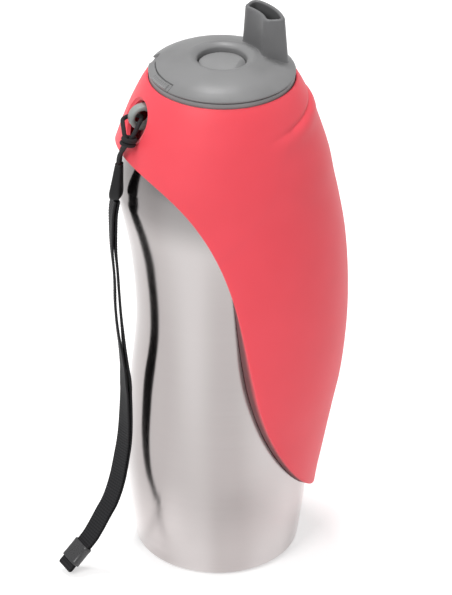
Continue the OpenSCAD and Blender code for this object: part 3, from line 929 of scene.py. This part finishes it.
# Kidney-shaped outline: an inner and an outer arc about the axis, joined by four round corners
def kidney(inner, outer, half, corner):
    turnIn = half - math.degrees(math.asin(corner / (inner + corner)))
    turnOut = half - math.degrees(math.asin(corner / (outer - corner)))

    def arc(radius, start, end, steps, centre=(0, 0)):
        a = np.radians(np.linspace(start, end, steps))
        return centre + radius * np.stack([np.cos(a), np.sin(a)], axis=1)

    def spot(radius, angle):
        return radius * math.cos(math.radians(angle)), radius * math.sin(math.radians(angle))

    return np.vstack([
        arc(inner, -turnIn, turnIn, 25),
        arc(corner, 180 + turnIn, 90 + turnIn, 10, spot(inner + corner, turnIn))[1:],
        arc(corner, 90 + turnOut, turnOut, 10, spot(outer - corner, turnOut)),
        arc(outer, turnOut, -turnOut, 25)[1:],
        arc(corner, -turnOut, -turnOut - 90, 10, spot(outer - corner, -turnOut))[1:],
        arc(corner, -90 - turnIn, -180 - turnIn, 10, spot(inner + corner, -turnIn)),
    ])


# The spout's outline at a height, inset from its outside: above the taper's start it narrows evenly to the lip
def spoutRing(form, z, inset):
    t = max(0, z - form["taper"]) / (form["lip"] - form["taper"])
    inner, outer = form["inner"] + inset + 0.3 * t, form["outer"] - inset - 1.5 * t
    half = form["half"] - 2.6 * t - 57.3 * inset / 21.5  # the inset as degrees at the spout's middle
    return atHeight(kidney(inner, outer, half, form["corner"] - inset * 0.7), z)


domeLine = smoothLine(domeForm["keys"], 8)


# Dome: a profile carried round Z, with the lock's recess and the spout's channel cut out of it
def makeDome(form, spoutSize, tab):
    profile = np.vstack([domeLine, form["under"]])
    dome = makePiece("dome", [turned(around(profile))], "lid", greyPlastic)
    rings = [spoutRing(spoutSize, z, 0.6) + [0, 0, z - 230] for z in (222, 226, 229, 234)]
    channel = makeCutter(turned(rings))  # drawn out up and down, so that it goes right through
    start, end = tab["middle"] - tab["half"] - tab["travel"] - 1.2, tab["middle"] + tab["half"] + 0.6
    recess = makeCutter(turned([sliceRing(r, form["recessOut"], start, end, z) for r, z in form["recess"]]))
    carve(dome, [recess, channel], form["edge"])
    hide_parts("lid_dome")


# Spout: rings for the fillet that rises from the dome, the outside, the lip's round and the inside
def makeSpout(form):
    curl, lip, rows = form["lipRound"], form["lip"], []
    crown = domeLine[: domeForm["outward"]]
    for a in np.radians(np.linspace(0, 90, 7)):
        ring = spoutRing(form, form["foot"], -form["filletOut"] * (1 - math.sin(a)))
        top = np.interp(-np.hypot(ring[:, 0], ring[:, 1]), -crown[:, 0], crown[:, 1])
        ring[:, 2] = top - 0.25 + form["filletUp"] * (1 - math.cos(a))
        rows.append(ring)
    start, end = rows[-1][:, 2], lip - curl
    for share in np.linspace(0.1, 1, 12):
        ring = spoutRing(form, start.mean() + share * (end - start.mean()), 0)
        ring[:, 2] = start * (1 - share) + end * share
        rows.append(ring)
    for a in np.radians(np.linspace(15, 165, 11)):
        rows.append(spoutRing(form, end + curl * math.sin(a), curl - curl * math.cos(a)))
    rows += [spoutRing(form, z, form["wall"]) for z in np.linspace(lip - 0.95, form["foot"], 12)]
    under = (rows[-1] + rows[0]) / 2
    under[:, 2] = form["foot"]
    rows += [under, rows[0]]
    spout = makePiece("spoutTube", [turned([closed(row) for row in rows])], "lid", spoutShadedPlastic)
    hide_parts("spout")


# Lock tab: a slice of the dome's edge; its section is raised within the grip, and a cosine of the angle ribs it
def makeLockTab(form):
    angle = np.linspace(form["middle"] - form["half"], form["middle"] + form["half"], 241)[:, None]
    away = abs(angle - form["grip"])
    grip = np.clip((form["gripHalf"] - away) / 0.6, 0, 1)
    panel = np.clip((form["panelHalf"] - away) / 0.4, 0, 1)
    rib = 0.5 + 0.5 * np.cos(2 * math.pi * (angle - form["grip"]) / form["ribEvery"])
    ease = 1 - 0.25 * np.clip((abs(angle - form["middle"]) - form["half"] + 0.4) / 0.4, 0, 1)
    raised, ribbed = np.array(form["raised"]), np.array(form["ribbed"])
    height = raised * form["lift"] * grip - ribbed * panel * (0.34 - 0.26 * rib)
    flat = np.array(form["section"]) + height[..., None] * unit(np.array([0.5, 0.87]))
    middle = flat.mean(axis=1, keepdims=True)
    flat = middle + (flat - middle) * ease[..., None]
    grid = turned(polar(flat[..., 0], np.radians(angle), flat[..., 1]))
    lock = makePiece("lockTab", [grid], "lock", greyPlastic, sharp=30, fillHoles=True)
    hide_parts("lock_slider")


# Button: a crowned profile carried round Z, with one flat facet cut from its side
def makeButton(form):
    r, top = form["radius"], form["top"]
    crown = [
        (0.01, top + 0.42), (4, top + 0.36), (7, top + 0.2), (8.6, top + 0.02), (r - 0.35, top - 0.18),
        (r - 0.1, top - 0.4), (r, top - 0.8),
    ]
    below = [
        (r, 224.4), (r - 0.6, 224.3), (r - 0.6, 223.4), (r, 223.4), (r, 222.1), (r + 1.2, 222.1),
        (r + 1.2, 221.3), (8, 221.3), (8, 224.6), (0.01, 224.6),
    ]
    button = makePiece("button", [turned(around(crown + below, 128))], "button", paleLitPlastic)
    side = math.radians(form["facetAt"])
    out = np.array([math.cos(side), math.sin(side), 0])
    across = np.array([-math.sin(side), math.cos(side), 0])
    start, end = form["facetStart"], form["facetEnd"]
    corners = [(start, top + 2.5), (start, top + 0.3), (end, top - form["facetDrop"]), (end, top + 2.5)]
    block = [[far * out + reach * across + [0, 0, z] for far, z in corners] for reach in (-9, 9)]
    carve(button, [makeCutter(turned(block))], form["edge"], 30)
    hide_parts("press_button")


makeDome(domeForm, spoutForm, tabForm)
makeSpout(spoutForm)
makeLockTab(tabForm)
makeButton(buttonForm)

# Spring, cord, sleeve, webbing and clip


# Directions along a line, sideways and across: each sideways one is the one before, made square to the line
def squareTo(line, start):
    ahead = tangents(line)
    side = [unit(np.array(start) - np.dot(start, ahead[0]) * ahead[0])]
    for way in ahead[1:]:
        side.append(unit(side[-1] - np.dot(side[-1], way) * way))
    side = np.array(side)
    return ahead, side, np.cross(ahead, side)


# Tube: circles of the radius about a line, from side (turn 0) to across (a quarter turn)
def tube(line, side, across, turn, radius):
    ring = np.cos(turn)[..., None] * side[:, None] + np.sin(turn)[..., None] * across[:, None]
    return line[:, None] + np.asarray(radius)[..., None] * ring


springForm = {"radius": 5.2, "wire": 0.42, "turns": 5, "low": 216.52, "high": 224.08, "pressed": 0.58}


# The spring under the button: a helix that rises evenly
def makeSpring(form):
    t = np.linspace(0, 1, 301)
    rise = form["low"] + (form["high"] - form["low"]) * t
    line = turned(polar(form["radius"], 2 * math.pi * form["turns"] * t, rise))
    _, side, across = squareTo(line, (1, 0, 0))
    wire = tube(line, side, across, np.linspace(0, 2 * math.pi, 17)[None, :], form["wire"])
    spring = makePiece("pressSpring", [wire], "lid", steel, sharp=60, fillHoles=True)
    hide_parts("button_spring")
    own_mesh(spring)


makeSpring(springForm)

cordForm = {
    "diameter": 1.8,
    "strands": 8,
    "pitch": 2.6,
    "relief": 0.09,  # share of the radius
    "route": [
        (-44.2, -1.3, 190.2), (-44.1, -2, 193.5), (-43.9, -3.8, 197.2), (-43.2, -6.4, 200.4),
        (-41.8, -8, 203), (-39.8, -7.2, 205.2), (-37.8, -5.2, 206.9), (-35.9, -3, 207.8),
        (-34.6, 0, 207.8), (-35.8, 3.2, 207.2), (-38.8, 4.4, 206.5), (-41.3, 3.1, 206.3),
        (-42.6, -0.2, 206.3), (-43.5, -3.8, 205.6), (-44.1, -6.8, 204), (-44, -8.8, 201.8),
        (-44.6, -7.2, 198.6), (-45.4, -5.3, 195.6), (-45.5, -3.6, 192.7), (-45.4, -2.9, 190.3),
    ],
    "tie": {  # two flat turns round the cord
        "place": (-42.95, -8.3, 202.1),
        "way": (0.352, 0, 0.936),
        "across": (-2.2, -0.8, -1.2),
        "half": (3.1, 2.0),
        "rise": 0.95,
    },
}


# Radius of braided cord: it rises where strands that wind left or right lie on top
def braidRadius(form, turn, along):
    left, right = (np.abs(np.sin(form["strands"] / 2 * turn + s * along)) for s in (1, -1))
    return form["diameter"] / 2 * (1 - form["relief"] + form["relief"] * np.maximum(left, right) ** 0.7)


# Cord: a braided tube along the route, tied by a knot of two ellipses side by side
def makeCord(form):
    keys = smoothLine(form["route"], 16)
    far = lengthAlong(keys)
    line = readOff(keys, far, np.linspace(0, 1, 420) * far[-1])
    _, side, across = squareTo(line, (1, 0, 0))
    along = lengthAlong(line)[:, None]
    turn = np.linspace(0, 2 * math.pi, 33)[None, :]
    surface = tube(line, side, across, turn, braidRadius(form, turn, 2 * math.pi * along / form["pitch"]))
    cord = makePiece("thinCord", [surface], "bottle", blackCord, sharp=70, fillHoles=True)

    tie = form["tie"]
    way, wide = unit(np.array(tie["way"])), np.array(tie["across"])
    wide = unit(wide - wide @ way * way)
    wide, deep = tie["half"][0] * wide, tie["half"][1] * np.cross(way, wide)
    a = np.linspace(0, 2 * math.pi, 161)[:, None]
    middle = np.array(tie["place"]) + np.cos(a) * wide + np.sin(a) * deep
    out = np.cross(unit(np.cos(a) * deep - np.sin(a) * wide), way)
    radius = braidRadius(form, turn, 16 * a)
    ways = np.broadcast_to(way, out.shape)
    coils = [tube(middle + lift * way, ways, out, turn, radius) for lift in (-tie["rise"], tie["rise"])]
    knot = makePiece("cordKnot", coils, "bottle", blackCord, sharp=70)
    for piece in (cord, knot):
        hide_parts("cord_loop")


makeCord(cordForm)

sleeveForm = {
    "top": (-44.8, -2.1, 189.2),
    "foot": (-46.5, -2.4, 174.1),
    "heading": 53,  # degrees
    "height": 15.6,
    "layers": [  # share of the height, width, thickness, corner radius
        (0.05, 5.2, 2.7, 0.7), (0.01, 5.3, 2.8, 0.8), (0.0, 5.7, 3.4, 0.9), (0.012, 6.2, 3.9, 1.0),
        (0.04, 6.5, 4.25, 1.0), (0.075, 6.7, 4.45, 1.0), (0.15, 6.9, 4.6, 1.0), (0.2, 6.85, 4.55, 1.0),
        (0.35, 6.4, 4.25, 1.1), (0.5, 5.85, 3.9, 1.2), (0.65, 5.4, 3.6, 1.2), (0.8, 4.9, 3.3, 1.2),
        (0.9, 4.55, 3.05, 1.2), (0.925, 4.5, 3.0, 1.2), (0.935, 4.25, 2.75, 1.1), (0.95, 4.25, 2.75, 1.1),
        (0.96, 4.45, 2.95, 1.2), (0.985, 4.4, 2.9, 1.2), (1.0, 4.0, 2.5, 1.1), (1.0, 3.7, 2.3, 1.0),
        (0.96, 3.6, 2.2, 1.0),
    ],
}


# Moulded sleeve: rounded boxes stacked from the recess in the foot to the recess in the top
def makeSleeve(form):
    foot = np.array(form["foot"])
    up = unit(np.array(form["top"]) - foot)
    a = math.radians(form["heading"])
    right = np.array((math.cos(a), math.sin(a), 0))
    right = unit(right - right @ up * up)
    away = np.cross(up, right)
    rows = []
    for share, width, thick, corner in form["layers"]:
        flat = roundedBox(width, thick, corner, 8)
        rows.append(foot + up * form["height"] * share + flat[:, :1] * right + flat[:, 1:] * away)
    sleeve = makePiece("cordSleeve", [np.stack(rows)], "bottle", blackPlastic, fillHoles=True)
    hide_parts("cord_sleeve")
    return sleeve


sleeve = makeSleeve(sleeveForm)

strapForm = {
    "width": 7.6,
    "thickness": 2.6,
    "ply": 1.1,
    "corner": 0.42,
    "threadEvery": 1.3,
    "ribEvery": 1.1,
    "apart": 0.25,
    "slits": [(119, 12, 1.0), (88, 4.5, 0.8)],  # height, half length, share of the gap
    "pictureRight": (0.934, -0.358, 0),  # level direction that is the picture's right
    "route": [  # X, Y, Z and turn in degrees
        (-46.6, -2.4, 173.8, 74), (-47.5, -2.5, 168, 76), (-47.7, -2.6, 162, 78), (-47.6, -2.8, 151, 82),
        (-46.6, -3, 138, 85), (-46.1, -3.4, 124, 85), (-45.2, -3.7, 112.5, 82), (-43.8, -4.1, 99, 76),
        (-43, -4.5, 88, 69), (-43.1, -5, 74, 59), (-43.9, -5.6, 61, 50), (-45.5, -6, 51, 45),
        (-47.6, -6.4, 41, 42), (-50.6, -6.7, 32, 42), (-54.2, -7, 25.6, 42), (-57.8, -7.2, 19.2, 42),
    ],
    "end": (-71.6, -8, 3.1),
    "endWay": (-11.1, -0.65, -12),  # the clip slides along it
    "endTurn": 42,
}

clipForm = {"length": 9.2, "wider": 1.8, "slot": 0.3, "back": 8, "corner": 1.85}


# Directions of the webbing's width and thickness: the picture's right made square to the line, turned about it
def strapSides(line, turn):
    ahead = tangents(line)
    right = np.array(strapForm["pictureRight"])
    right = unit(right - (ahead @ right)[:, None] * ahead)
    a = np.radians(turn)[:, None]
    wide = np.cos(a) * right + np.sin(a) * np.cross(ahead, right)
    return wide, np.cross(ahead, wide)


# Webbing: a rounded section carried down the front ply, round the end and up the back one, as one band. The
# weave thins it by the sine of the length, less at the ribs by the cosine of the width
def makeWebbing(form, route, end, way):
    fine = smoothLine(route, 16)
    far = lengthAlong(fine[:, :3])
    length = far[-1] - 0.65
    table = readOff(fine, far, np.linspace(0, length, int(length / 0.2)))
    line = table[:, :3]
    wide, deep = strapSides(line, table[:, 3])
    slits = sum(share * np.exp(-(((line[:, 2] - z) / half) ** 4)) for z, half, share in form["slits"])
    gap = (form["thickness"] / 2 - form["ply"] / 2 + form["apart"] * slits)[:, None]

    bend = np.linspace(0, math.pi, 11)[1:-1, None]
    tip = line[-1] + gap[-1] * (np.sin(bend) * way + np.cos(bend) * deep[-1])
    middle = np.vstack([line + gap * deep, tip, (line - gap * deep)[::-1]])
    across = np.vstack([wide, np.repeat(wide[-1:], len(tip), axis=0), wide[::-1]])
    outward = np.vstack([deep, unit(tip - line[-1]), -deep[::-1]])
    along = lengthAlong(middle)[:, None]

    width, half, corner = form["width"], form["ply"] / 2, form["corner"]
    section = roundedBox(width, form["ply"], corner, 4)
    w = np.linspace(-1, 1, 17)[1:-1] * (width / 2 - corner)
    top, foot = np.stack([w[::-1], np.full(15, half)], axis=1), np.stack([w, np.full(15, -half)], axis=1)
    flat = np.vstack([section[:4], top, section[4:12], foot, section[12:]])
    ribs = 0.72 + 0.28 * np.cos(2 * math.pi * flat[:, 0] / form["ribEvery"])
    weave = np.abs(np.sin(math.pi * along / form["threadEvery"])) ** 0.7 * ribs
    thickness = flat[:, 1] * (0.7 + 0.3 * weave)
    surface = middle[:, None] + flat[:, :1] * across[:, None] + thickness[..., None] * outward[:, None]
    # the weave is kept on the mesh for the painted shade in its hollows
    strap = makePiece("webbing", [surface], "bottle", blackWebbing, sharp=75, fillHoles=True, depths=[weave])
    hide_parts("wrist_strap")
    return strap, far[-1]


# Clip: rounded boxes from the slot, over one end and its raised band, and back in over the other end
def makeClip(form, strap, end, way):
    centre = end - form["back"] * way
    sides = strapSides(np.stack([centre, centre + way]), np.full(2, float(strap["endTurn"])))
    right, away = (v[0] for v in sides)
    w, t = strap["width"] + form["wider"], strap["thickness"] + form["wider"]
    holeW, holeT = strap["width"] + 2 * form["slot"], strap["thickness"] + 2 * form["slot"]
    half, corner = form["length"] / 2, form["corner"]
    layers = [  # distance in from the end, width, thickness, corner radius
        (0.5, holeW, holeT, 0.6), (0.12, holeW + 0.1, holeT + 0.1, 0.6), (0, holeW + 0.35, holeT + 0.35, 0.7),
        (0, w - 0.7, t - 0.7, 1.4), (0.1, w - 0.25, t - 0.25, 1.7), (0.35, w, t, corner), (1.4, w, t, corner),
        (1.6, w - 0.12, t - 0.12, corner - 0.05),
    ]
    layers = [(depth - half, *size) for depth, *size in layers]
    layers += [(-far, *size) for far, *size in layers[::-1]] + layers[:1]
    grid = []
    for far, *size in layers:
        flat = roundedBox(*size, 8)
        grid.append(centre + far * way + flat[:, :1] * right + flat[:, 1:] * away)
    clip = makePiece("strapClip", [np.stack(grid)], "strap_clip", clipPlastic)
    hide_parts("strap_slider")
    return clip


# Strap: the route ends in a straight run, along which the clip slides
def makeStrap(form, clipSize):
    end, way = np.array(form["end"], float), unit(np.array(form["endWay"], float))
    route = np.array(form["route"] + [(*(end - back * way), form["endTurn"]) for back in (16, 8, 0)])
    strap, length = makeWebbing(form, route, end, way)
    clip = makeClip(clipSize, form, end, way)


makeStrap(strapForm, clipForm)

# Floor and light

floorForm = {
    "half": 6,  # metres
    "colour": (0.84, 0.84, 0.84, 1),
    "glow": (0.3, 6, 0.42, 0.62),  # two squared distances from the axis, and the glow at each
}

lights = {  # metres and watts
    "keyLight": {"place": (-1.3, -0.8, 1.5), "target": (0, 0, 0.12), "size": (0.8, 0.9), "power": 17},
    "topLight": {"place": (0.0, 0.3, 1.35), "target": (0, 0, 0.22), "size": (0.3, 0.2), "power": 8},
    "fillLight": {"place": (1.3, -0.6, 0.8), "target": (0, 0, 0.12), "size": (0.6, 1.0), "power": 1.6},
}


# Floor: a matte square, with a glow that only camera rays and glossy rays see, and that grows with distance
def makeFloor(form):
    f = Finish("floor")
    seen = f.make("LightPath", out=0) + f.make("LightPath", out=3)
    x, y, _ = f.place()
    strength = seen * (x * x + y * y).between(*form["glow"])
    glow = f.make("Emission", None, {0: (1, 1, 1, 1), 1: strength})
    matte = f.make("BsdfDiffuse", None, {0: form["colour"]})
    mesh = bpy.data.meshes.new("floor")
    far = form["half"]
    mesh.from_pydata([(-far, -far, 0), (far, -far, 0), (far, far, 0), (-far, far, 0)], [], [(0, 1, 2, 3)])
    mesh.materials.append(f.close(f.make("AddShader", None, {0: glow, 1: matte})))
    floor = bpy.data.objects.new("floor", mesh)
    scene.collection.objects.link(floor)
    print("floor made")


# World: white, with a strength of a half for lighting and 1 for camera rays
def makeWorld():
    world = bpy.data.worlds.new("studio")
    scene.world = world
    world.use_nodes = True
    nodes, links = world.node_tree.nodes, world.node_tree.links
    nodes["Background"].inputs[0].default_value = (1, 1, 1, 1)
    lightPath, strength = nodes.new("ShaderNodeLightPath"), nodes.new("ShaderNodeMath")
    strength.operation = "MULTIPLY_ADD"
    strength.inputs[1].default_value = strength.inputs[2].default_value = 0.5
    links.new(lightPath.outputs[0], strength.inputs[0])
    links.new(strength.outputs[0], nodes["Background"].inputs[1])


# Rectangular area light that faces its target
def makeLight(name, form):
    data = bpy.data.lights.new(name, "AREA")
    data.shape, data.energy = "RECTANGLE", form["power"]
    data.size, data.size_y = form["size"]
    light = bpy.data.objects.new(name, data)
    way = Vector(form["target"]) - Vector(form["place"])
    light.rotation_euler = way.to_track_quat("-Z", "Y").to_euler()
    light.location = form["place"]
    scene.collection.objects.link(light)
    print("made", name)


makeFloor(floorForm)
makeWorld()
for name, form in lights.items():
    makeLight(name, form)

# Finishes of the CAD pieces that stay

finishes = {
    "grey_plastic": greyPlastic,
    "black_plastic": blackPlastic,
    "seal_rubber": sealRubber,
    "spring_steel": steel,
    "steel": steel,
    "silicone": silicone,
    "cord": blackCord,
    "webbing": blackWebbing,
}
slots = {entry["node"]: entry["material_slot"] for entry in frame["record"]["subparts"]}
for name, node in frame["nodes"].items():
    for i in range(len(node.data.materials)):
        node.data.materials[i] = finishes[slots[name]]
print("finishes given")
